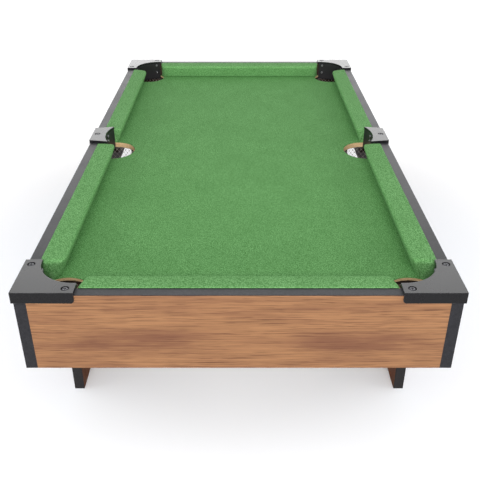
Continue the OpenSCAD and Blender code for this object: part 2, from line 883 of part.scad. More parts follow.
module cleat_screws() {
    color([0.70, 0.70, 0.72]) {
        for (rear = [0, 1]) against_end(rear) end_cleat_screw_places()
            flat_screw(wood_screw_d, cleat_w + cleat_screw_l, wood_head_d);
        for (right = [0, 1], rear = [0, 1]) against_side(right, rear)
            side_cleat_screw_places()
                flat_screw(wood_screw_d, cleat_w + cleat_screw_l, wood_head_d);
    }
}

module rail_screws() {
    color([0.70, 0.70, 0.72])
        rail_screw_places() flat_screw(wood_screw_d, rail_screw_full, wood_head_d);
}

module net_screws() {
    color([0.70, 0.70, 0.72]) {
        every_corner() corner_net_screw_places()
            pan_screw(net_screw_d, net_t + net_screw_l, net_head_d, net_head_h);
        every_side() side_net_screw_places()
            pan_screw(net_screw_d, net_t + net_screw_l, net_head_d, net_head_h);
    }
}

// Nodes

side_panel();  // side_panel_left
mirror([1, 0, 0]) side_panel();  // side_panel_right
end_panel();  // end_panel_front
mirror([0, 1, 0]) end_panel();  // end_panel_rear
side_band();  // side_band_left
mirror([1, 0, 0]) side_band();  // side_band_right
end_band();  // end_band_front
mirror([0, 1, 0]) end_band();  // end_band_rear
playfield_board();
playfield_cloth();
end_rail(0);  // rail_front
end_rail(1);  // rail_rear
side_rail(0, 0);  // rail_left_front
side_rail(0, 1);  // rail_left_rear
side_rail(1, 0);  // rail_right_front
side_rail(1, 1);  // rail_right_rear
against_end(0) rubber(end_cushion);  // rubber_front
against_end(1) rubber(end_cushion);  // rubber_rear
against_side(0, 0) rubber(side_cushion);  // rubber_left_front
against_side(0, 1) rubber(side_cushion);  // rubber_left_rear
against_side(1, 0) rubber(side_cushion);  // rubber_right_front
against_side(1, 1) rubber(side_cushion);  // rubber_right_rear
against_end(0) cushion_cloth(end_cushion);  // cushion_cloth_front
against_end(1) cushion_cloth(end_cushion);  // cushion_cloth_rear
against_side(0, 0) cushion_cloth(side_cushion);  // cushion_cloth_left_front
against_side(0, 1) cushion_cloth(side_cushion);  // cushion_cloth_left_rear
against_side(1, 0) cushion_cloth(side_cushion);  // cushion_cloth_right_front
against_side(1, 1) cushion_cloth(side_cushion);  // cushion_cloth_right_rear
at_corner(0, 0) corner_cap();  // corner_cap_front_left
at_corner(1, 0) corner_cap();  // corner_cap_front_right
at_corner(0, 1) corner_cap();  // corner_cap_rear_left
at_corner(1, 1) corner_cap();  // corner_cap_rear_right
at_side(0) side_cap();  // side_cap_left
at_side(1) side_cap();  // side_cap_right
at_corner(0, 0) corner_liner();  // corner_liner_front_left
at_corner(1, 0) corner_liner();  // corner_liner_front_right
at_corner(0, 1) corner_liner();  // corner_liner_rear_left
at_corner(1, 1) corner_liner();  // corner_liner_rear_right
at_side(0) side_liner();  // side_liner_left
at_side(1) side_liner();  // side_liner_right
at_corner(0, 0) corner_net();  // net_front_left
at_corner(1, 0) corner_net();  // net_front_right
at_corner(0, 1) corner_net();  // net_rear_left
at_corner(1, 1) corner_net();  // net_rear_right
at_side(0) side_net();  // net_side_left
at_side(1) side_net();  // net_side_right
playfield_cleats();
cross_battens();
leg();  // leg_front_left
mirror([1, 0, 0]) leg();  // leg_front_right
mirror([0, 1, 0]) leg();  // leg_rear_left
mirror([1, 0, 0]) mirror([0, 1, 0]) leg();  // leg_rear_right
leg_edge_bands();
cap_screws();
liner_screws();
leg_bolts();
frame_screws();
cleat_screws();
rail_screws();
net_screws();
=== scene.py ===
"""Looks of a small tabletop pool table: its cloth, cushions and nets as new pieces, the
finishes of its boards, caps, liners and screws, and a plain pale studio. Metres. The origin
is on the floor under the middle of the table, Y runs along it and the front end is at -Y."""

import math

import bpy
import numpy as np
from mathutils.geometry import tessellate_polygon
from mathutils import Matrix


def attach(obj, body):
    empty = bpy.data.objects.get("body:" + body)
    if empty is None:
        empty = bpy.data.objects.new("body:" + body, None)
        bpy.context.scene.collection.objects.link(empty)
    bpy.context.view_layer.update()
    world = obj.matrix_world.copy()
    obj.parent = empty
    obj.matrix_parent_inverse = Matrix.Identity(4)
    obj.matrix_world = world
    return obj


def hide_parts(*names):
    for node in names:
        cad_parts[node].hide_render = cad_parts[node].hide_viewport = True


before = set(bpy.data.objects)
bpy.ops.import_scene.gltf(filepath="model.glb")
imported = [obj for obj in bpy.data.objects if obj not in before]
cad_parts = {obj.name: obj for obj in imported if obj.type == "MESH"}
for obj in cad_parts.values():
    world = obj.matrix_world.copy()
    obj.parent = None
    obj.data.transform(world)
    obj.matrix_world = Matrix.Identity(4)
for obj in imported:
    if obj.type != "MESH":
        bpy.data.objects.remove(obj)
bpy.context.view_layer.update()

MM = 0.001

# The table's main planes
HALF_W = 238.5 * MM
HALF_L = 457 * MM
BOARD = 13 * MM
FIELD_Z = 211.5 * MM
FIELD_LOW = 202.5 * MM
FIT = 0.3 * MM
CLOTH = 1.0 * MM

# Cushions: y runs from the panel to the nose and z up from the playing cloth. The waves along
# them have rates in radians per metre.
CUSHION_W = 26.5 * MM
CUSHION_FOOT = 19 * MM
CUSHION_H = 25.7 * MM
CUSHION_FALL = 1 * MM
NOSE_R = 4 * MM
NOSE_CORNER_R = 6 * MM
FOOT_CORNER_R = 11 * MM
CUSHION_END = 65.5 * MM
FOOT_CURL = 1.8 * MM
END_ROUND = 4 * MM
CROWN = 0.3 * MM
WAVE_LIFT = 0.05 * MM
WAVE_RATES = (61.0, 97.0, 173.0)
MID_STATIONS = 60
SIDE_START = 33.5 * MM
CORNER_MITRE = 6 * MM
SIDE_MITRE = 0.5 * MM

# The cushion's back edge: how far each point stands from the panel and below the top
BACK_BEND = ((0.6 * MM, 0.02 * MM), (0.2 * MM, 0.12 * MM), (0, 0.35 * MM))

# Pockets, measured from the corner of the boards or from the outer face of the side panel
CORNER_HOLE_AT = 41.5 * MM
CORNER_HOLE_R = 30.5 * MM
CORNER_CUT = 67 * MM
CORNER_CUT_W = 20 * MM
SIDE_HOLE_AT = 28.6 * MM
SIDE_HOLE_R = 36.2 * MM

# Painted shade in the corner holes: how far under the playing cloth's top it starts, and how
# far from the table's middle
HOLE_SHADE_FROM = 4.4 * MM
HOLE_SHADE_PAST = 300 * MM

# Nets. A cord's value is its thickness and a knot's is its reach from its middle. A hem lies
# between two distances outside the net's radius, and its ends are angles in degrees.
NET_MARGIN = 0.9 * MM
NET_WALL_GAP = 0.7 * MM
NET_DROP = 63 * MM
NET_POWER = 2.6
NET_ROWS = 22
CORNER_COLUMNS = 28
SIDE_COLUMNS = 30
STRAND = 0.42 * MM
KNOT = 1.05 * MM
RIM_CORD = 0.6 * MM
RING_CORD = 1.5 * MM
HEM_FROM = 3 * MM
HEM_TO = 7 * MM
HEM_T = 1.2 * MM
HEM_STEPS = 40
CORNER_HEM = (-44, 134)
SIDE_HEM = (-109, 109)

# The photograph's camera: its place, its tilt up from straight down in degrees, and its lens
# and film in millimetres
CAMERA_AT = (0.0014, -1.034, 0.636)
CAMERA_TILT = 60
LENS = 50
FILM = 36

# The height of the dark figure in the panels' printed grain
HEART_Z = 178 * MM

# Names of places. The cushions' order gives each its random seed.
ENDS = ("front", "rear")
SIDES = ("left", "right")
CUSHION_PLACES = ("front", "rear", "left_front", "left_rear", "right_front", "right_rear")


# Camera


def aim_camera():
    """The photograph's camera: above the front end, looking 30 degrees down."""
    lens = bpy.data.cameras.new("camera")
    lens.lens = LENS
    lens.sensor_width = FILM
    camera = bpy.data.objects.new("camera", lens)
    camera.location = CAMERA_AT
    camera.rotation_euler = (math.radians(CAMERA_TILT), 0, 0)
    bpy.context.scene.collection.objects.link(camera)
    bpy.context.scene.camera = camera


# Shapes


def make_piece(name, points, faces, sharp_deg=35):
    """A mesh object of these points and faces, shaded smooth up to an angle."""
    mesh = bpy.data.meshes.new(name)
    mesh.from_pydata(np.asarray(points, float).reshape(-1, 3).tolist(), [], faces)
    mesh.validate()
    mesh.shade_smooth()
    mesh.set_sharp_from_angle(angle=math.radians(sharp_deg))
    piece = bpy.data.objects.new(name, mesh)
    bpy.context.scene.collection.objects.link(piece)
    return piece


def grid_faces(rows, cols):
    """Four-sided faces between neighbouring rows of points, each row a closed ring."""
    i, j = np.meshgrid(np.arange(rows - 1), np.arange(cols), indexing="ij")
    k = (j + 1) % cols
    quads = np.stack([i * cols + j, i * cols + k, (i + 1) * cols + k, (i + 1) * cols + j], -1)
    return quads.reshape(-1, 4).tolist()


def facing_out(points, faces):
    """The faces, turned round if the closed mesh that they make has a negative volume: the
    volume is a sixth of the sum of the triangles' triple products."""
    p = np.asarray(points, float).reshape(-1, 3)
    fans = np.array([(f[0], f[i], f[i + 1]) for f in faces for i in range(1, len(f) - 1)])
    a, b, c = p[fans[:, 0]], p[fans[:, 1]], p[fans[:, 2]]
    volume = np.einsum("ij,ij->i", a, np.cross(b, c)).sum() / 6
    return faces if volume > 0 else [list(f)[::-1] for f in faces]


def outward(loop):
    """Unit outward normals of a closed loop of plan points that runs anticlockwise: the
    tangent from the last point to the next, turned a quarter to the right."""
    tangent = np.roll(loop, -1, 0) - np.roll(loop, 1, 0)
    normal = np.stack([tangent[:, 1], -tangent[:, 0]], 1)
    return normal / np.maximum(np.linalg.norm(normal, axis=1, keepdims=True), 1e-9)


def stacked_plate(loop, rims):
    """A plate: its plan loop, drawn in by each rim's inset at that rim's height, from the
    lowest rim to the highest, with the two ends filled by triangles. A triangle's turn is
    the cross product of two of its sides."""
    normal = outward(loop)
    rings = [np.c_[loop - normal * inset, np.full(len(loop), z)] for inset, z in rims]
    points = np.concatenate(rings)
    n = len(loop)
    faces = grid_faces(len(rims), n)
    for ring in (0, len(rims) - 1):
        fill = np.array(tessellate_polygon([[tuple(p) for p in rings[ring]]]))
        a, b, c = (rings[ring][fill[:, i]] for i in range(3))
        turn = np.cross(b - a, c - a)[:, 2]
        wrong = turn < 0 if ring else turn > 0
        fill[wrong] = fill[wrong][:, ::-1]
        faces += (fill + ring * n).tolist()
    return points, facing_out(points, faces)


def turned(points, right, rear):
    """Points drawn at the front left, mirrored to the right or the rear or both."""
    return points * np.array([-1 if right else 1, -1 if rear else 1, 1])[: points.shape[-1]]


def arc_points(centre, radius, start_deg, end_deg, count):
    """Plan points on a circle: centre plus radius times the cosine and sine of the angle."""
    a = np.radians(np.linspace(start_deg, end_deg, count))
    return np.stack([centre[0] + radius * np.cos(a), centre[1] + radius * np.sin(a)], 1)


def cloth_outline():
    """The playing cloth's plan, anticlockwise from the front left corner: a rectangle with a
    notch at each corner, made of two straight cuts and an arc, and an arc at each side."""
    edge = BOARD + FIT
    reach = math.sqrt(CORNER_HOLE_R**2 - (CORNER_HOLE_AT - CORNER_CUT_W) ** 2)
    half = math.degrees(math.atan2(reach, CORNER_HOLE_AT - CORNER_CUT_W))
    round_part = arc_points((CORNER_HOLE_AT,) * 2, CORNER_HOLE_R, 180 - half, half - 90, 49)
    round_part = round_part[round_part.min(1) >= CORNER_CUT_W - 1e-6]
    start = [[edge, CORNER_CUT], [CORNER_CUT_W, CORNER_CUT]]
    corner = np.vstack([start, round_part, np.array(start)[::-1, ::-1]])
    corner = corner - [HALF_W, HALF_L]
    wide = math.degrees(math.acos((edge - SIDE_HOLE_AT) / SIDE_HOLE_R))
    side = arc_points((SIDE_HOLE_AT - HALF_W, 0), SIDE_HOLE_R, wide, -wide, 49)
    return np.vstack([
        corner,
        turned(corner, True, False)[::-1],
        turned(side, True, False)[::-1],
        turned(corner, True, True),
        turned(corner, False, True)[::-1],
        side,
    ])


def playing_cloth():
    """The cloth on the playfield board, with its cut edges a little rounded at the top. The
    last rim is level with the one before, so that the wide top is shaded flat."""
    rims = [(0, FIELD_Z - CLOTH + 0.01 * MM), (0, FIELD_Z - 0.4 * MM), (0.12 * MM, FIELD_Z - 0.12 * MM),
            (0.4 * MM, FIELD_Z), (0.9 * MM, FIELD_Z)]
    outline = cloth_outline()
    piece = make_piece("playing_cloth", *stacked_plate(outline, rims))
    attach(piece, "root")
    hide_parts("playfield_cloth")
    return piece


def cushion_section():
    """A cushion's section as a closed loop of (y, z) points, anticlockwise from the panel's
    foot: the foot, a curled corner, the slanted face up to the nose's arc, the crowned top, the
    bent back edge and the back. The curl is a quadratic curve whose middle point is the foot's
    corner, and the crown is four times its height times t times 1 less t."""
    nose = np.array([CUSHION_W - NOSE_R, CUSHION_H - CUSHION_FALL - NOSE_R])
    to_nose = nose - [CUSHION_FOOT, 0]
    far = np.linalg.norm(to_nose)
    low = math.pi / 2 - math.atan2(to_nose[1], to_nose[0]) + math.asin(NOSE_R / far)
    high = math.pi / 2 - math.atan2(CUSHION_FALL, CUSHION_W - NOSE_R)
    a = np.linspace(-low, high, 18)[:, None]
    arc = nose + NOSE_R * np.hstack([np.cos(a), np.sin(a)])
    foot = np.stack([np.linspace(0, CUSHION_FOOT - FOOT_CURL, 9)[:-1], np.zeros(8)], 1)
    corner = np.array([CUSHION_FOOT, 0])
    leave = corner + (arc[0] - corner) / np.linalg.norm(arc[0] - corner) * FOOT_CURL
    t = np.linspace(0, 1, 6)[:-1, None]
    curl = (corner - [FOOT_CURL, 0]) * (1 - t) ** 2 + corner * 2 * t * (1 - t) + leave * t**2
    t = np.linspace(0, 1, 7)[:-1, None]
    face = leave * (1 - t) + arc[0] * t
    bend = np.array([(y, CUSHION_H - drop) for y, drop in BACK_BEND])
    t = np.linspace(0, 1, 18)[1:-1, None]
    top = arc[-1] * (1 - t) + bend[0] * t + np.array([0, CROWN]) * 4 * t * (1 - t)
    t = np.linspace(0, 1, 6)[1:-1, None]
    rear = bend[-1] * (1 - t)
    return np.vstack([foot, curl, face, arc, top, bend, rear])


def drawn_in(section, depth):
    """The cushion's section drawn in by a depth, less so near the foot, with its foot kept on
    the playing cloth and its back on the panel."""
    share = np.clip(0.3 + section[:, 1:] / (6 * MM), 0, 1)
    loop = section - outward(section) * depth * share
    foot = section[:, 1] <= 1e-7
    back = section[:, 0] <= 1e-7
    loop[foot] = section[foot] * (1 - depth / CUSHION_FOOT)
    loop[back] = section[back] * (1 - depth / CUSHION_H)
    return np.maximum(loop, 0)


def set_back(loop, slant):
    """How far a cushion's end stands back at each (y, z) point: a slant that starts a little
    way from the panel, and near the face R less the root of R squared less the overshoot
    squared. R shrinks from the foot's to the nose's."""
    y, z = loop[:, 0], loop[:, 1]
    rise = np.clip(z / (CUSHION_H - CUSHION_FALL - NOSE_R), 0, 1)
    face = CUSHION_FOOT + (CUSHION_W - CUSHION_FOOT) * rise
    r = (FOOT_CORNER_R + (NOSE_CORNER_R - FOOT_CORNER_R) * rise) * min(1, 0.6 + slant / CORNER_MITRE)
    over = np.clip(y - (face - r), 0, r)
    start = 3 * MM
    return slant * np.clip(y - start, 0, None) / (CUSHION_W - start) + r - np.sqrt(r**2 - over**2)


def cushion_shape(start, end, start_slant, end_slant, seed):
    """A cushion from start to end along its panel. Near an end each station moves on by R
    less R times the cosine of an angle, and its section is drawn in by R less R times the
    sine. Both ends are set back towards the nose, and close on rings that shrink to the end's
    middle. Three slow sine waves along it lift the top by about a tenth of a millimetre."""
    section = cushion_section()
    n = len(section)
    first_r, last_r = (END_ROUND * (0.5 + 0.5 * slant / CORNER_MITRE) for slant in (start_slant, end_slant))
    angle = np.linspace(0, math.pi / 2, 8)
    steps, insets = 1 - np.cos(angle), 1 - np.sin(angle)
    waves = np.random.default_rng(seed).uniform(0, 2 * math.pi, 3)

    def station(loop, x):
        lift = sum(np.sin(x * k + w) for k, w in zip(WAVE_RATES, waves)) * WAVE_LIFT
        upper = np.clip((loop[:, 1] - CUSHION_H * 0.7) / (CUSHION_H * 0.3), 0, 1)
        return np.stack([x, loop[:, 0], loop[:, 1] + lift * upper], 1)

    stations = []
    for step, inset in zip(steps, insets):
        loop = drawn_in(section, inset * first_r)
        stations.append(station(loop, start + step * first_r + set_back(loop, start_slant)))
    first = start + first_r + set_back(section, start_slant)
    last = end - last_r - set_back(section, end_slant)
    for mix in np.linspace(0, 1, MID_STATIONS + 2)[1:-1]:
        stations.append(station(section, first * (1 - mix) + last * mix))
    for step, inset in zip(steps[::-1], insets[::-1]):
        loop = drawn_in(section, inset * last_r)
        stations.append(station(loop, end - step * last_r - set_back(loop, end_slant)))
    for side in (0, 1):
        rim = stations[-side]
        inner = [rim.mean(0) + (rim - rim.mean(0)) * k for k in (0.7, 0.4, 0.1)]
        stations = stations + inner if side else inner[::-1] + stations
    points = np.concatenate(stations)
    faces = grid_faces(len(stations), n)
    faces.append(list(range(n))[::-1])
    faces.append(list(range(len(points) - n, len(points))))
    return points, faces


def against_end(points, rear):
    """Cushion points stood against the front or the rear end panel."""
    p = points + np.array([0, -(HALF_L - BOARD), FIELD_Z])
    return p * np.array([-1, -1, 1]) if rear else p


def against_side(points, right, rear):
    """Cushion points stood against a side panel, from its middle towards the front or rear."""
    p = np.stack([points[:, 1] - (HALF_W - BOARD), -points[:, 0], points[:, 2] + FIELD_Z], 1)
    return turned(p, right, rear)


def add_cushion(place, seed):
    """One wrapped cushion: a single piece that stands for cloth and rubber."""
    run = HALF_W - CUSHION_END
    if place in ENDS:
        points, faces = cushion_shape(-run, run, CORNER_MITRE, CORNER_MITRE, seed)
        points = against_end(points, place == "rear")
    else:
        points, faces = cushion_shape(SIDE_START, HALF_L - CUSHION_END, SIDE_MITRE, CORNER_MITRE, seed)
        points = against_side(points, "right" in place, "rear" in place)
    piece = make_piece("cushion_" + place, points, facing_out(points, faces), sharp_deg=50)
    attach(piece, "root")
    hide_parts("cushion_cloth_" + place, "rubber_" + place)
    return piece


# Nets


def bag_point(turn, share, centre, radius, near):
    """Points on a hanging net: the radius shrinks with depth as a superellipse, and what would
    pass a panel's inner face is pressed flat against it."""
    width = radius * np.power(np.clip(1 - share**NET_POWER, 0, 1), 1 / NET_POWER)
    x = np.maximum(centre[0] + width * np.cos(turn), near[0])
    y = np.maximum(centre[1] + width * np.sin(turn), near[1])
    return np.stack([x, y, FIELD_LOW - HEM_T / 2 - NET_DROP * share], -1)


def tubes(paths, thick, sides=4):
    """Thin tubes along paths of equal length: at each point a ring of that many sides, in the
    plane of the two directions square to the path. Both ends are closed."""
    count, steps, _ = paths.shape
    along = np.gradient(paths, axis=1)
    along /= np.linalg.norm(along, axis=2, keepdims=True)
    up = np.where(np.abs(along[..., 2:]) > 0.9, [1.0, 0, 0], [0, 0, 1.0])
    across = np.cross(along, up)
    across /= np.linalg.norm(across, axis=2, keepdims=True)
    other = np.cross(along, across)
    a = np.arange(sides) / sides * 2 * math.pi
    ring = (across[:, :, None] * np.cos(a)[:, None] + other[:, :, None] * np.sin(a)[:, None]) * thick / 2
    points = (paths[:, :, None] + ring).reshape(-1, 3)
    one = np.array(grid_faces(steps, sides))
    size = steps * sides
    faces = (one[None] + (np.arange(count) * size)[:, None, None]).reshape(-1, 4).tolist()
    caps = []
    for k in range(count):
        caps.append([k * size + i for i in range(sides)][::-1])
        caps.append([(k + 1) * size - sides + i for i in range(sides)])
    return points, faces + caps


def knots(at, size):
    """Small eight-faced knots at these points: six corners, one size away along each axis."""
    corner = np.array([[1, 0, 0], [-1, 0, 0], [0, 1, 0], [0, -1, 0], [0, 0, 1], [0, 0, -1]]) * size
    points = (at[:, None] + corner[None]).reshape(-1, 3)
    one = np.array([[0, 2, 4], [2, 1, 4], [1, 3, 4], [3, 0, 4], [2, 0, 5], [1, 2, 5], [3, 1, 5], [0, 3, 5]])
    faces = (one[None] + (np.arange(len(at)) * 6)[:, None, None]).reshape(-1, 3).tolist()
    return points, faces


def joined(*parts):
    """Several point and face lists as one."""
    points, faces, start = [], [], 0
    for p, f in parts:
        points.append(p)
        faces += [[i + start for i in face] for face in f]
        start += len(p)
    return np.concatenate(points), faces


def hem_band(centre, radius, ends_deg):
    """A flat band round part of a net's mouth: a four-cornered section carried on an arc."""
    a = np.radians(np.linspace(*ends_deg, HEM_STEPS))[:, None]
    r = radius + np.array([HEM_FROM, HEM_TO, HEM_TO, HEM_FROM])
    z = np.array([0, 0, -HEM_T, -HEM_T]) + FIELD_LOW - 0.05 * MM
    x, y = centre[0] + r * np.cos(a), centre[1] + r * np.sin(a)
    points = np.stack([x, y, np.broadcast_to(z, x.shape)], -1).reshape(-1, 3)
    last = 4 * (HEM_STEPS - 1)
    faces = grid_faces(HEM_STEPS, 4) + [[3, 2, 1, 0], [last, last + 1, last + 2, last + 3]]
    return points, facing_out(points, faces)


def net_bag(centre, radius, near, hem, columns):
    """A knotted net: two families of cords go round opposite ways, half a mesh for each row,
    so that they cross in diamonds, with a knot at each crossing, a rim cord, a bottom ring and
    a hem. The rows' depths follow the sine of an angle that ends just short of a right one."""
    share = np.sin(np.linspace(0, 0.955, NET_ROWS * 2 + 1) * math.pi / 2)
    row = np.linspace(0, NET_ROWS, NET_ROWS * 2 + 1)
    k = np.arange(columns)[:, None]
    paths = []
    for way in (1, -1):
        turn = (k + way * row[None] / 2) * 2 * math.pi / columns
        paths.append(bag_point(turn, np.broadcast_to(share, turn.shape), centre, radius, near))
    strands = tubes(np.concatenate(paths), STRAND)
    r, kk = np.meshgrid(np.arange(1, NET_ROWS), np.arange(columns), indexing="ij")
    knot_turn = (kk + (r % 2) / 2) * 2 * math.pi / columns
    at = bag_point(knot_turn.ravel(), share[(r * 2).ravel()], centre, radius, near)
    ring = np.linspace(0, 2 * math.pi, 49)[None]
    rim = tubes(bag_point(ring, np.zeros_like(ring), centre, radius, near), RIM_CORD, 6)
    low = tubes(bag_point(ring, np.full_like(ring, share[-1]), centre, radius, near), RING_CORD, 6)
    return joined(strands, knots(at, KNOT), rim, low, hem_band(centre, radius, hem))


def add_nets():
    """The four corner nets and the two side nets."""
    near = BOARD + FIT + NET_WALL_GAP
    corner = net_bag((CORNER_HOLE_AT,) * 2, CORNER_HOLE_R + NET_MARGIN, (near, near), CORNER_HEM,
                     CORNER_COLUMNS)
    side = net_bag((SIDE_HOLE_AT, 0), SIDE_HOLE_R + NET_MARGIN, (near, -1), SIDE_HEM, SIDE_COLUMNS)
    made = []
    for right in (0, 1):
        for rear in (0, 1):
            points = turned(corner[0] - [HALF_W, HALF_L, 0], right, rear)
            made.append((f"net_{ENDS[rear]}_{SIDES[right]}", points, corner[1], right != rear))
        points = turned(side[0] - [HALF_W, 0, 0], right, 0)
        made.append((f"net_side_{SIDES[right]}", points, side[1], right == 1))
    pieces = []
    for name, points, faces, flipped in made:
        faces = [f[::-1] for f in faces] if flipped else faces
        piece = make_piece(name + "_mesh", points, faces, sharp_deg=60)
        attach(piece, "root")
        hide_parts(name)
        pieces.append(piece)
    return pieces


# Materials


def srgb(red, green, blue):
    """A colour given as a screen shows it, 0 to 255, in linear light."""
    c = np.array([red, green, blue]) / 255
    linear = np.where(c <= 0.04045, c / 12.92, ((c + 0.055) / 1.055) ** 2.4)
    return (*linear.tolist(), 1.0)


def give(tree, socket, value):
    """Links an input socket to another node's output, or sets it to a plain value."""
    if isinstance(value, bpy.types.NodeSocket):
        tree.links.new(value, socket)
    else:
        socket.default_value = value


def feed(tree, node, **values):
    """Gives a node its named inputs; an underscore stands for a space."""
    for key, value in values.items():
        give(tree, node.inputs[key.replace("_", " ")], value)


def add(tree, kind, inputs=None, **settings):
    """A node of one kind, with its settings and its inputs, by their names or numbers."""
    node = tree.nodes.new("ShaderNode" + kind)
    for key, value in settings.items():
        setattr(node, key, value)
    for key, value in (inputs or {}).items():
        give(tree, node.inputs[key], value)
    return node


def group(name, ins, outs):
    """An empty shader node group with named sockets; returns it with its two end nodes."""
    tree = bpy.data.node_groups.new(name, "ShaderNodeTree")
    for label, kind, default in ins:
        socket = tree.interface.new_socket(label, in_out="INPUT", socket_type="NodeSocket" + kind)
        if default is not None:
            socket.default_value = default
    for label, kind in outs:
        tree.interface.new_socket(label, in_out="OUTPUT", socket_type="NodeSocket" + kind)
    return tree, tree.nodes.new("NodeGroupInput"), tree.nodes.new("NodeGroupOutput")


def mixed(tree, factor, a, b):
    """The colour between a and b. A Mix node also has sockets for numbers and vectors, so those
    for colours are its inputs 6 and 7 and its output 2."""
    return add(tree, "Mix", {0: factor, 6: a, 7: b}, data_type="RGBA").outputs[2]


def maths(tree, operation, a, b=0.0, clamp=False):
    """The result of one arithmetic node."""
    return add(tree, "Math", {0: a, 1: b}, operation=operation, use_clamp=clamp).outputs[0]


def ramped(tree, value, low, high, to_low=0.0, to_high=1.0):
    """A value carried from one range to another, smoothly and with its ends held."""
    node = add(tree, "MapRange", {"Value": value, "From Min": low, "From Max": high,
                                  "To Min": to_low, "To Max": to_high}, interpolation_type="SMOOTHSTEP")
    return node.outputs[0]


def noise(tree, vector, scale, detail=2.0, rough=0.5, distortion=0.0):
    """Fractal noise between 0 and 1."""
    return add(tree, "TexNoise", {"Vector": vector, "Scale": scale, "Detail": detail,
                                  "Roughness": rough, "Distortion": distortion}).outputs[0]


def stretched(tree, vector, x, y, z):
    """A vector with each axis scaled by its own factor."""
    return add(tree, "Mapping", {"Vector": vector, "Scale": (x, y, z)}).outputs[0]


def build_edge_rub():
    """Group: where an outer edge is rubbed, and the normal that rounds it. The rub is how far
    the rounded normal leans from the face's own, broken up by noise."""
    tree, start, end = group("edge_rub", [("Vector", "Vector", None), ("Radius", "Float", 0.0006)],
                             [("Rub", "Float"), ("Normal", "Vector")])
    soft = add(tree, "Bevel", {"Radius": start.outputs["Radius"]}, samples=6).outputs[0]
    face = add(tree, "NewGeometry").outputs["True Normal"]
    lean = add(tree, "VectorMath", {0: soft, 1: face}, operation="DOT_PRODUCT").outputs["Value"]
    rub = ramped(tree, lean, 0.97, 0.75)
    patch = ramped(tree, noise(tree, start.outputs["Vector"], 160, 3), 0.35, 0.6)
    tree.links.new(maths(tree, "MULTIPLY", rub, patch), end.inputs["Rub"])
    tree.links.new(soft, end.inputs["Normal"])
    return tree


def build_moulded_grain():
    """Group: the fine grain of moulded or film-covered plastic as a shade and a height, and wide
    smudges."""
    tree, start, end = group("moulded_grain", [("Vector", "Vector", None), ("Scale", "Float", 900)],
                             [("Shade", "Float"), ("Height", "Float"), ("Smudge", "Float")])
    fine = noise(tree, start.outputs["Vector"], start.outputs["Scale"], 2, 0.6)
    wide = maths(tree, "MULTIPLY", start.outputs["Scale"], 0.3)
    coarse = noise(tree, start.outputs["Vector"], wide, 2)
    shade = maths(tree, "ADD", maths(tree, "MULTIPLY", fine, 0.6), maths(tree, "MULTIPLY", coarse, 0.4))
    tree.links.new(shade, end.inputs["Shade"])
    tree.links.new(fine, end.inputs["Height"])
    smudge = noise(tree, start.outputs["Vector"], 22, 3)
    tree.links.new(ramped(tree, smudge, 0.35, 0.7), end.inputs["Smudge"])
    return tree


def build_board_grain():
    """Group: printed wood grain that runs along the vector's X. Thin straight streaks of two
    lengths, and broad zones that gather near one height round two places along the board and
    lie loosely elsewhere."""
    tree, start, end = group(
        "board_grain",
        [("Vector", "Vector", None), ("Heart", "Float", 0.0), ("Heart Width", "Float", 0.012)],
        [("Streak", "Float"), ("Figure", "Float"), ("Zone", "Float"), ("Height", "Float")])
    vector = start.outputs["Vector"]
    bend = noise(tree, stretched(tree, vector, 6, 14, 14), 1.0, 2)
    lifted = add(tree, "CombineXYZ", {"Z": maths(tree, "MULTIPLY", bend, 0.005)}).outputs[0]
    waved = add(tree, "VectorMath", {0: vector, 1: lifted}, operation="ADD").outputs[0]
    fine = noise(tree, stretched(tree, waved, 30, 1500, 1500), 1.0, 1, 0.6)
    long = noise(tree, stretched(tree, waved, 11, 1900, 1900), 1.0, 1, 0.6)
    tree.links.new(fine, end.inputs["Streak"])
    tree.links.new(long, end.inputs["Figure"])
    level = add(tree, "SeparateXYZ", {"Vector": waved}).outputs["Z"]
    away = maths(tree, "ABSOLUTE", maths(tree, "SUBTRACT", level, start.outputs["Heart"]))
    near = maths(tree, "DIVIDE", away, start.outputs["Heart Width"])
    band = ramped(tree, near, 1.7, 0.0)
    along = add(tree, "SeparateXYZ", {"Vector": vector}).outputs["X"]
    left = ramped(tree, maths(tree, "ABSOLUTE", maths(tree, "ADD", along, 0.13)), 0.125, 0.03)
    right = ramped(tree, maths(tree, "ABSOLUTE", maths(tree, "SUBTRACT", along, 0.13)), 0.1, 0.03)
    patch = ramped(tree, noise(tree, stretched(tree, waved, 14, 70, 70), 1.0, 3), 0.22, 0.55)
    gathered = maths(tree, "MULTIPLY", maths(tree, "ADD", left, right), patch)
    loose = ramped(tree, noise(tree, stretched(tree, waved, 9, 75, 75), 1.0, 4, 0.6), 0.4, 0.68)
    tree.links.new(maths(tree, "ADD", maths(tree, "MULTIPLY", band, gathered),
                         maths(tree, "MULTIPLY", loose, 0.5), True), end.inputs["Zone"])
    height = maths(tree, "ADD", maths(tree, "MULTIPLY", fine, 0.6), maths(tree, "MULTIPLY", long, 0.4))
    tree.links.new(height, end.inputs["Height"])
    return tree


def build_cloth_nap():
    """Group: brushed wool cloth. Fibre clumps at two sizes, a faint lie of the nap along the
    vector's Y, and slow uneven patches."""
    tree, start, end = group("cloth_nap", [("Vector", "Vector", None)],
                             [("Fibre", "Float"), ("Patch", "Float")])
    vector = start.outputs["Vector"]
    tiny = noise(tree, stretched(tree, vector, 1300, 1000, 1300), 1.0, 2, 0.6)
    clump = noise(tree, stretched(tree, vector, 800, 620, 800), 1.0, 3, 0.6, 0.4)
    fibre = maths(tree, "ADD", maths(tree, "MULTIPLY", tiny, 0.4), maths(tree, "MULTIPLY", clump, 0.6))
    tree.links.new(fibre, end.inputs["Fibre"])
    tree.links.new(noise(tree, stretched(tree, vector, 24, 15, 24), 1.0, 3), end.inputs["Patch"])
    return tree


def use(tree, built, **values):
    """A node that holds a built group, with its inputs given."""
    node = add(tree, "Group", node_tree=built)
    feed(tree, node, **values)
    return node


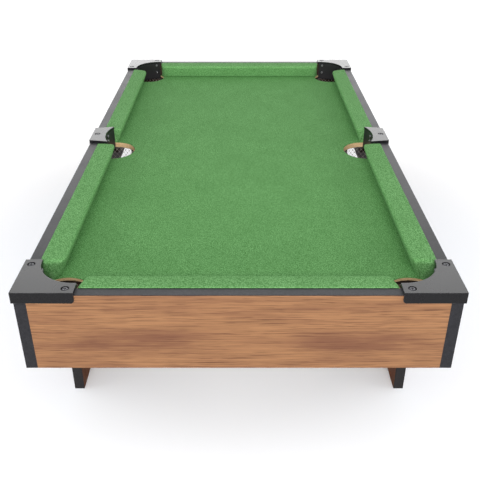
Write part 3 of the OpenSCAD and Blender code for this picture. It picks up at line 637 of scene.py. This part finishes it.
def finish_of(name):
    """A new material's tree, its Principled shader and its object coordinates."""
    material = bpy.data.materials.new(name)
    material.use_nodes = True
    tree = material.node_tree
    shader = tree.nodes["Principled BSDF"]
    return material, tree, shader, add(tree, "TexCoord").outputs["Object"]


def bumped(tree, height, distance, strength, normal=None):
    """The normal of a bump of one real height."""
    inputs = {"Height": height, "Distance": distance, "Strength": strength}
    if normal is not None:
        inputs["Normal"] = normal
    return add(tree, "Bump", inputs).outputs[0]


EDGE_RUB = build_edge_rub()
MOULDED_GRAIN = build_moulded_grain()
BOARD_GRAIN = build_board_grain()
CLOTH_NAP = build_cloth_nap()


def wood_board(name, grain_axis, heart, light, dark, zone_colour, back=None, gloss=0.4):
    """Printed wood-grain laminate whose grain runs along one axis. Where a board's inner face is
    painted dark as painted shade under the playfield, back gives its axis, the distance from the
    table's middle within which it covers the board, and its colour."""
    material, tree, shader, at = finish_of(name)
    turn = {"X": (0, 0, 0), "Y": (0, 0, math.pi / 2), "Z": (0, math.pi / 2, 0)}[grain_axis]
    vector = add(tree, "Mapping", {"Vector": at, "Rotation": turn}).outputs[0]
    grain = use(tree, BOARD_GRAIN, Vector=vector, Heart=heart)
    edge = use(tree, EDGE_RUB, Vector=at, Radius=0.4 * MM)
    streak = ramped(tree, grain.outputs["Streak"], 0.55, 0.64)
    figure = ramped(tree, grain.outputs["Figure"], 0.38, 0.62)
    streaks, figures = maths(tree, "MULTIPLY", streak, 0.5), maths(tree, "MULTIPLY", figure, 0.4)
    amount = maths(tree, "ADD", streaks, figures, True)
    colour = mixed(tree, amount, light, dark)
    colour = mixed(tree, maths(tree, "MULTIPLY", grain.outputs["Zone"], 0.7), colour, zone_colour)
    rub = maths(tree, "MULTIPLY", edge.outputs["Rub"], 0.25)
    colour = mixed(tree, rub, colour, srgb(205, 170, 135))
    if back:
        # Painted shade: within the given distance from the middle the board's inner face takes the dark
        # colour, for the shade under the playfield.
        across = maths(tree, "ABSOLUTE", add(tree, "SeparateXYZ", {"Vector": at}).outputs[back[0]])
        inner_shade = mixed(tree, streak, srgb(*back[2]), srgb(*(value * 1.3 for value in back[2])))
        colour = mixed(tree, maths(tree, "LESS_THAN", across, back[1]), colour, inner_shade)
    feed(tree, shader, Base_Color=colour, Specular_IOR_Level=gloss,
         Roughness=ramped(tree, grain.outputs["Streak"], 0.3, 0.7, 0.42, 0.56),
         Normal=bumped(tree, grain.outputs["Height"], 0.08 * MM, 0.6, edge.outputs["Normal"]))
    return material


def plastic(name, colour, pale, rough, scale=900, height=0.03 * MM, contrast=0.5, edge_colour=None,
            edge_r=0.5 * MM, gloss=0.5, smudge=0.08):
    """Moulded or film-covered plastic: a fine grain between two shades, smudges in its gloss,
    and rounded, rubbed edges."""
    material, tree, shader, at = finish_of(name)
    grain = use(tree, MOULDED_GRAIN, Vector=at, Scale=scale)
    edge = use(tree, EDGE_RUB, Vector=at, Radius=edge_r)
    shade = ramped(tree, grain.outputs["Shade"], 0.5 - contrast / 3, 0.5 + contrast / 3)
    base = mixed(tree, shade, colour, pale)
    base = mixed(tree, maths(tree, "MULTIPLY", edge.outputs["Rub"], 0.6), base, edge_colour or pale)
    feed(tree, shader, Base_Color=base, Specular_IOR_Level=gloss,
         Roughness=ramped(tree, grain.outputs["Smudge"], 0, 1, rough, rough + smudge),
         Normal=bumped(tree, grain.outputs["Height"], height, 0.6, edge.outputs["Normal"]))
    return material


def cloth(name, light, dark):
    """Brushed cloth: fibre clumps between two greens, slow patches and a soft sheen."""
    material, tree, shader, at = finish_of(name)
    nap = use(tree, CLOTH_NAP, Vector=at)
    fibre = ramped(tree, nap.outputs["Fibre"], 0.445, 0.555)
    patch = ramped(tree, nap.outputs["Patch"], 0.3, 0.7)
    colour = mixed(tree, fibre, dark, light)
    colour = mixed(tree, maths(tree, "MULTIPLY", patch, 0.18), colour, dark)
    feed(tree, shader, Base_Color=colour, Specular_IOR_Level=0.05,
         Roughness=ramped(tree, nap.outputs["Fibre"], 0.3, 0.7, 0.98, 0.85),
         Normal=bumped(tree, nap.outputs["Fibre"], 0.35 * MM, 0.55),
         Sheen_Weight=0.02, Sheen_Roughness=0.5, Sheen_Tint=srgb(170, 215, 160))
    return material


def fibreboard():
    """Raw fibreboard with machined edges: tan, with dark and pale flecks. The upright edges of the
    corner holes are painted dark below the board's upper part, as painted shade where the caps and end panels
    keep the light off."""
    material, tree, shader, at = finish_of("raw_fibreboard")
    fleck = noise(tree, at, 900, 4, 0.7)
    layer = noise(tree, stretched(tree, at, 60, 60, 900), 1.0, 3)
    colour = mixed(tree, ramped(tree, fleck, 0.35, 0.68), srgb(206, 170, 124), srgb(238, 206, 160))
    colour = mixed(tree, ramped(tree, layer, 0.55, 0.75, 0, 0.4), colour, srgb(176, 136, 92))
    parts = add(tree, "SeparateXYZ", {"Vector": at})
    upright = add(tree, "SeparateXYZ", {"Vector": add(tree, "NewGeometry").outputs["Normal"]}).outputs["Z"]
    low = maths(tree, "LESS_THAN", parts.outputs["Z"], FIELD_Z - HOLE_SHADE_FROM)
    low = maths(tree, "MULTIPLY", low, maths(tree, "LESS_THAN", maths(tree, "ABSOLUTE", upright), 0.5))
    ends = maths(tree, "GREATER_THAN", maths(tree, "ABSOLUTE", parts.outputs["Y"]), HOLE_SHADE_PAST)
    # Painted shade: the lower part of the corner holes' upright edges is darkened where the caps and end
    # panels keep the light off.
    painted_hole_shade = mixed(tree, ramped(tree, fleck, 0.35, 0.68), srgb(40, 30, 24), srgb(58, 44, 34))
    colour = mixed(tree, maths(tree, "MULTIPLY", low, ends), colour, painted_hole_shade)
    feed(tree, shader, Base_Color=colour, Roughness=ramped(tree, fleck, 0.3, 0.7, 0.75, 0.9),
         Normal=bumped(tree, fleck, 0.15 * MM, 0.6), Specular_IOR_Level=0.25)
    return material


def softwood(name, pale, line, streak):
    """Sawn softwood: one colour with darker growth lines along X and saw marks."""
    material, tree, shader, at = finish_of(name)
    grain = use(tree, BOARD_GRAIN, Vector=at)
    lines = ramped(tree, grain.outputs["Figure"], 0.42, 0.6)
    colour = mixed(tree, lines, pale, line)
    colour = mixed(tree, ramped(tree, grain.outputs["Streak"], 0.45, 0.7, 0, 0.4), colour, streak)
    feed(tree, shader, Base_Color=colour,
         Roughness=ramped(tree, grain.outputs["Streak"], 0.3, 0.7, 0.68, 0.85),
         Normal=bumped(tree, grain.outputs["Height"], 0.2 * MM, 0.7))
    return material


def metal(name, colour, tint, rough):
    """Screw metal: fine turning marks, uneven gloss and rubbed edges."""
    material, tree, shader, at = finish_of(name)
    grain = use(tree, MOULDED_GRAIN, Vector=at, Scale=1500)
    edge = use(tree, EDGE_RUB, Vector=at, Radius=0.3 * MM)
    base = mixed(tree, ramped(tree, grain.outputs["Shade"], 0.35, 0.65), colour, tint)
    base = mixed(tree, maths(tree, "MULTIPLY", edge.outputs["Rub"], 0.5), base, srgb(225, 225, 228))
    feed(tree, shader, Base_Color=base, Metallic=1.0,
         Roughness=ramped(tree, grain.outputs["Smudge"], 0, 1, rough, rough + 0.14),
         Normal=bumped(tree, grain.outputs["Height"], 0.02 * MM, 0.5, edge.outputs["Normal"]))
    return material


def net_twine():
    """Pale knotted twine: a fine twist of light and grey fibres."""
    material, tree, shader, at = finish_of("net_twine")
    twist = noise(tree, stretched(tree, at, 700, 700, 1500), 1.0, 3, 0.6)
    colour = mixed(tree, ramped(tree, twist, 0.35, 0.65), srgb(150, 142, 137), srgb(192, 182, 175))
    feed(tree, shader, Base_Color=colour, Roughness=ramped(tree, twist, 0.3, 0.7, 0.7, 0.9),
         Normal=bumped(tree, twist, 0.2 * MM, 0.7), Specular_IOR_Level=0.3)
    return material


def dress(piece, material):
    """Gives a piece one material in place of those that it has."""
    piece.data.materials.clear()
    piece.data.materials.append(material)


def dress_all():
    """Makes the finishes and gives each CAD node its own: that of the first prefix in the list
    that the node's name starts with, so a longer prefix stands before a shorter one. Returns the
    finishes of the new pieces."""
    light_wood, dark_wood, heart_wood = srgb(154, 111, 76), srgb(86, 55, 37), srgb(98, 60, 45)
    # Each panel's last argument paints its inner face dark, as painted shade under the playfield.
    end_wood = wood_board("end_panel_laminate", "X", HEART_Z, light_wood, dark_wood, heart_wood,
                          ("Y", HALF_L - BOARD + FIT, (54, 37, 28)))
    side_wood = wood_board("side_panel_laminate", "Y", HEART_Z, light_wood, dark_wood, heart_wood,
                           ("X", HALF_W - BOARD + FIT, (30, 28, 32)))
    # The legs are the panels' laminate painted darker and redder: painted shade for legs that stand under the
    # table.
    leg_wood = wood_board("leg_laminate", "Z", 0.22, srgb(116, 68, 42), srgb(68, 36, 21), srgb(58, 31, 19),
                          gloss=0.12)
    band = plastic("black_edge_band", srgb(28, 28, 31), srgb(48, 48, 52), 0.5, height=0.06 * MM,
                   contrast=0.9, gloss=0.22, smudge=0.03)
    leg_band = plastic("leg_edge_band", srgb(30, 29, 30), srgb(44, 42, 43), 0.5, height=0.05 * MM,
                       contrast=0.9, gloss=0.22, smudge=0.03)
    # The caps' rubbed edges are painted pale grey: partly wear, partly a painted highlight along their
    # rounded edges.
    cap = plastic("cap_plastic", srgb(19, 19, 21), srgb(27, 27, 29), 0.26, scale=1300,
                  height=0.006 * MM, contrast=0.6, edge_colour=srgb(120, 120, 124), edge_r=0.6 * MM,
                  gloss=0.3, smudge=0.03)
    liner = plastic("liner_plastic", srgb(20, 19, 22), srgb(30, 29, 32), 0.42, contrast=0.8)
    rubber = plastic("cushion_rubber", srgb(28, 28, 28), srgb(40, 40, 40), 0.7, scale=500,
                     height=0.08 * MM, contrast=0.8)
    field = cloth("playing_cloth", srgb(116, 170, 107), srgb(72, 122, 64))
    cushion = cloth("cushion_cloth", srgb(122, 174, 113), srgb(76, 125, 68))
    board, twine = fibreboard(), net_twine()
    pine = softwood("raw_softwood", srgb(226, 196, 150), srgb(186, 146, 98), srgb(170, 128, 84))
    # The cleats are painted near black as painted shade, so that the shade under the playfield stays dark
    # through the pockets.
    shade_dark_pine = softwood("shade_dark_softwood", srgb(52, 42, 36), srgb(38, 30, 26), srgb(30, 24, 22))
    bolt_metal = metal("black_bolt", srgb(40, 40, 43), srgb(62, 62, 66), 0.15)
    bright_screw = metal("bright_screw", srgb(190, 190, 194), srgb(222, 222, 226), 0.22)
    liner_screw = metal("liner_screw", srgb(130, 130, 134), srgb(165, 165, 169), 0.25)
    cap_screw = metal("cap_screw", srgb(52, 52, 55), srgb(76, 76, 80), 0.14)
    by_prefix = (
        ("side_panel", side_wood), ("end_panel", end_wood), ("side_band", band), ("end_band", band),
        ("playfield_board", board), ("playfield_cloth", field), ("playfield_cleats", shade_dark_pine),
        ("cross_battens", pine), ("rail_screws", bright_screw), ("rail", pine), ("rubber", rubber),
        ("cushion_cloth", cushion),
        ("corner_cap", cap), ("side_cap", cap), ("corner_liner", liner), ("side_liner", liner),
        ("net_screws", bright_screw), ("net", twine), ("leg_edge_bands", leg_band), ("leg_bolts", bolt_metal),
        ("leg", leg_wood), ("cap_screws", cap_screw), ("liner_screws", liner_screw),
        ("frame_screws", bright_screw), ("cleat_screws", bright_screw),
    )
    for name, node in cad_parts.items():
        dress(node, next(m for prefix, m in by_prefix if name.startswith(prefix)))
    return field, cushion, twine


# Studio


def shine(name, place, aim, size, power, mirrored=True, lights=True):
    """A soft rectangular lamp, turned to face a point, seen in gloss or not, and lighting the
    dull surfaces or not."""
    lamp = bpy.data.lights.new(name, "AREA")
    lamp.shape = "RECTANGLE"
    lamp.size, lamp.size_y = size
    lamp.energy = power
    holder = bpy.data.objects.new(name, lamp)
    holder.location = place
    look = np.array(aim, float) - np.array(place, float)
    flat = math.hypot(look[0], look[1])
    turn = math.atan2(look[1], look[0]) - math.pi / 2 if flat > 1e-6 else 0.0
    holder.rotation_euler = (math.atan2(flat, -look[2]), 0, turn)
    holder.visible_camera = False
    holder.visible_glossy = mirrored
    holder.visible_diffuse = lights
    bpy.context.scene.collection.objects.link(holder)


def build_studio():
    """A white room: a floor that shows the table's shadow lightly, gets whiter with distance
    and lets a view from below through, a white world and lamps."""
    world = bpy.data.worlds.new("studio")
    world.use_nodes = True
    bpy.context.scene.world = world
    tree = world.node_tree
    back = tree.nodes["Background"]
    path = add(tree, "LightPath")
    seen = maths(tree, "MAXIMUM", path.outputs["Is Camera Ray"],
                 maths(tree, "MAXIMUM", path.outputs["Is Glossy Ray"], path.outputs["Is Transmission Ray"]))
    back.inputs["Color"].default_value = (1, 1, 1, 1)
    tree.links.new(maths(tree, "ADD", maths(tree, "MULTIPLY", seen, 0.4), 0.6), back.inputs["Strength"])

    mesh = bpy.data.meshes.new("floor")
    mesh.from_pydata([(-6, -6, 0), (6, -6, 0), (6, 6, 0), (-6, 6, 0)], [], [(0, 1, 2, 3)])
    floor = bpy.data.objects.new("floor", mesh)
    bpy.context.scene.collection.objects.link(floor)
    material = bpy.data.materials.new("floor_paper")
    material.use_nodes = True
    tree = material.node_tree
    tree.nodes.clear()
    path = add(tree, "LightPath")
    away = add(tree, "VectorMath", {0: add(tree, "NewGeometry").outputs["Position"]}, operation="LENGTH")
    # Painted cool tint: the floor is painted bluer near the table to offset the warm light that the table's
    # underside bounces into its shadow.
    cool, plain = (0.88, 0.915, 0.97, 1), (0.95, 0.95, 0.955, 1)
    near = mixed(tree, ramped(tree, away.outputs["Value"], 0.25, 0.7), cool, plain)
    shown = add(tree, "BsdfDiffuse", {"Color": near})
    lift = maths(tree, "ADD", ramped(tree, away.outputs["Value"], 0.42, 0.95, 0.06, 0.25),
                 ramped(tree, away.outputs["Value"], 0.9, 2.5, 0, 0.4))
    glow = add(tree, "Emission", {"Color": (1, 1, 1, 1), "Strength": lift})
    seen = add(tree, "AddShader", {0: shown.outputs[0], 1: glow.outputs[0]})
    bounce = add(tree, "BsdfDiffuse", {"Color": (0.5, 0.5, 0.5, 1)})
    mix = add(tree, "MixShader", {0: path.outputs["Is Camera Ray"], 1: bounce.outputs[0], 2: seen.outputs[0]})
    below = add(tree, "MixShader", {0: add(tree, "NewGeometry").outputs["Backfacing"], 1: mix.outputs[0],
                                    2: add(tree, "BsdfTransparent").outputs[0]})
    add(tree, "OutputMaterial", {"Surface": below.outputs[0]})
    floor.data.materials.append(material)

    shine("key", (0, -3.0, 1.95), (0, 0, 0.2), (1.4, 0.8), 54)
    shine("front_low", (0, -3.0, 0.6), (0, 0, 0.2), (3.0, 0.7), 52, mirrored=False)
    shine("rear_wall", (0, 2.4, 1.75), (0, 2.0, 1.75), (3.4, 3.0), 80, lights=False)
    shine("left_side", (-2.6, 0, 1.0), (0, 0, 0.2), (3.0, 1.1), 29, mirrored=False)
    shine("right_side", (2.6, 0, 1.0), (0, 0, 0.2), (3.0, 1.1), 29, mirrored=False)
    bpy.context.scene.view_settings.view_transform = "Standard"


aim_camera()
field_finish, cushion_finish, twine_finish = dress_all()
dress(playing_cloth(), field_finish)
for seed, place in enumerate(CUSHION_PLACES):
    dress(add_cushion(place, seed), cushion_finish)
for net in add_nets():
    dress(net, twine_finish)
build_studio()
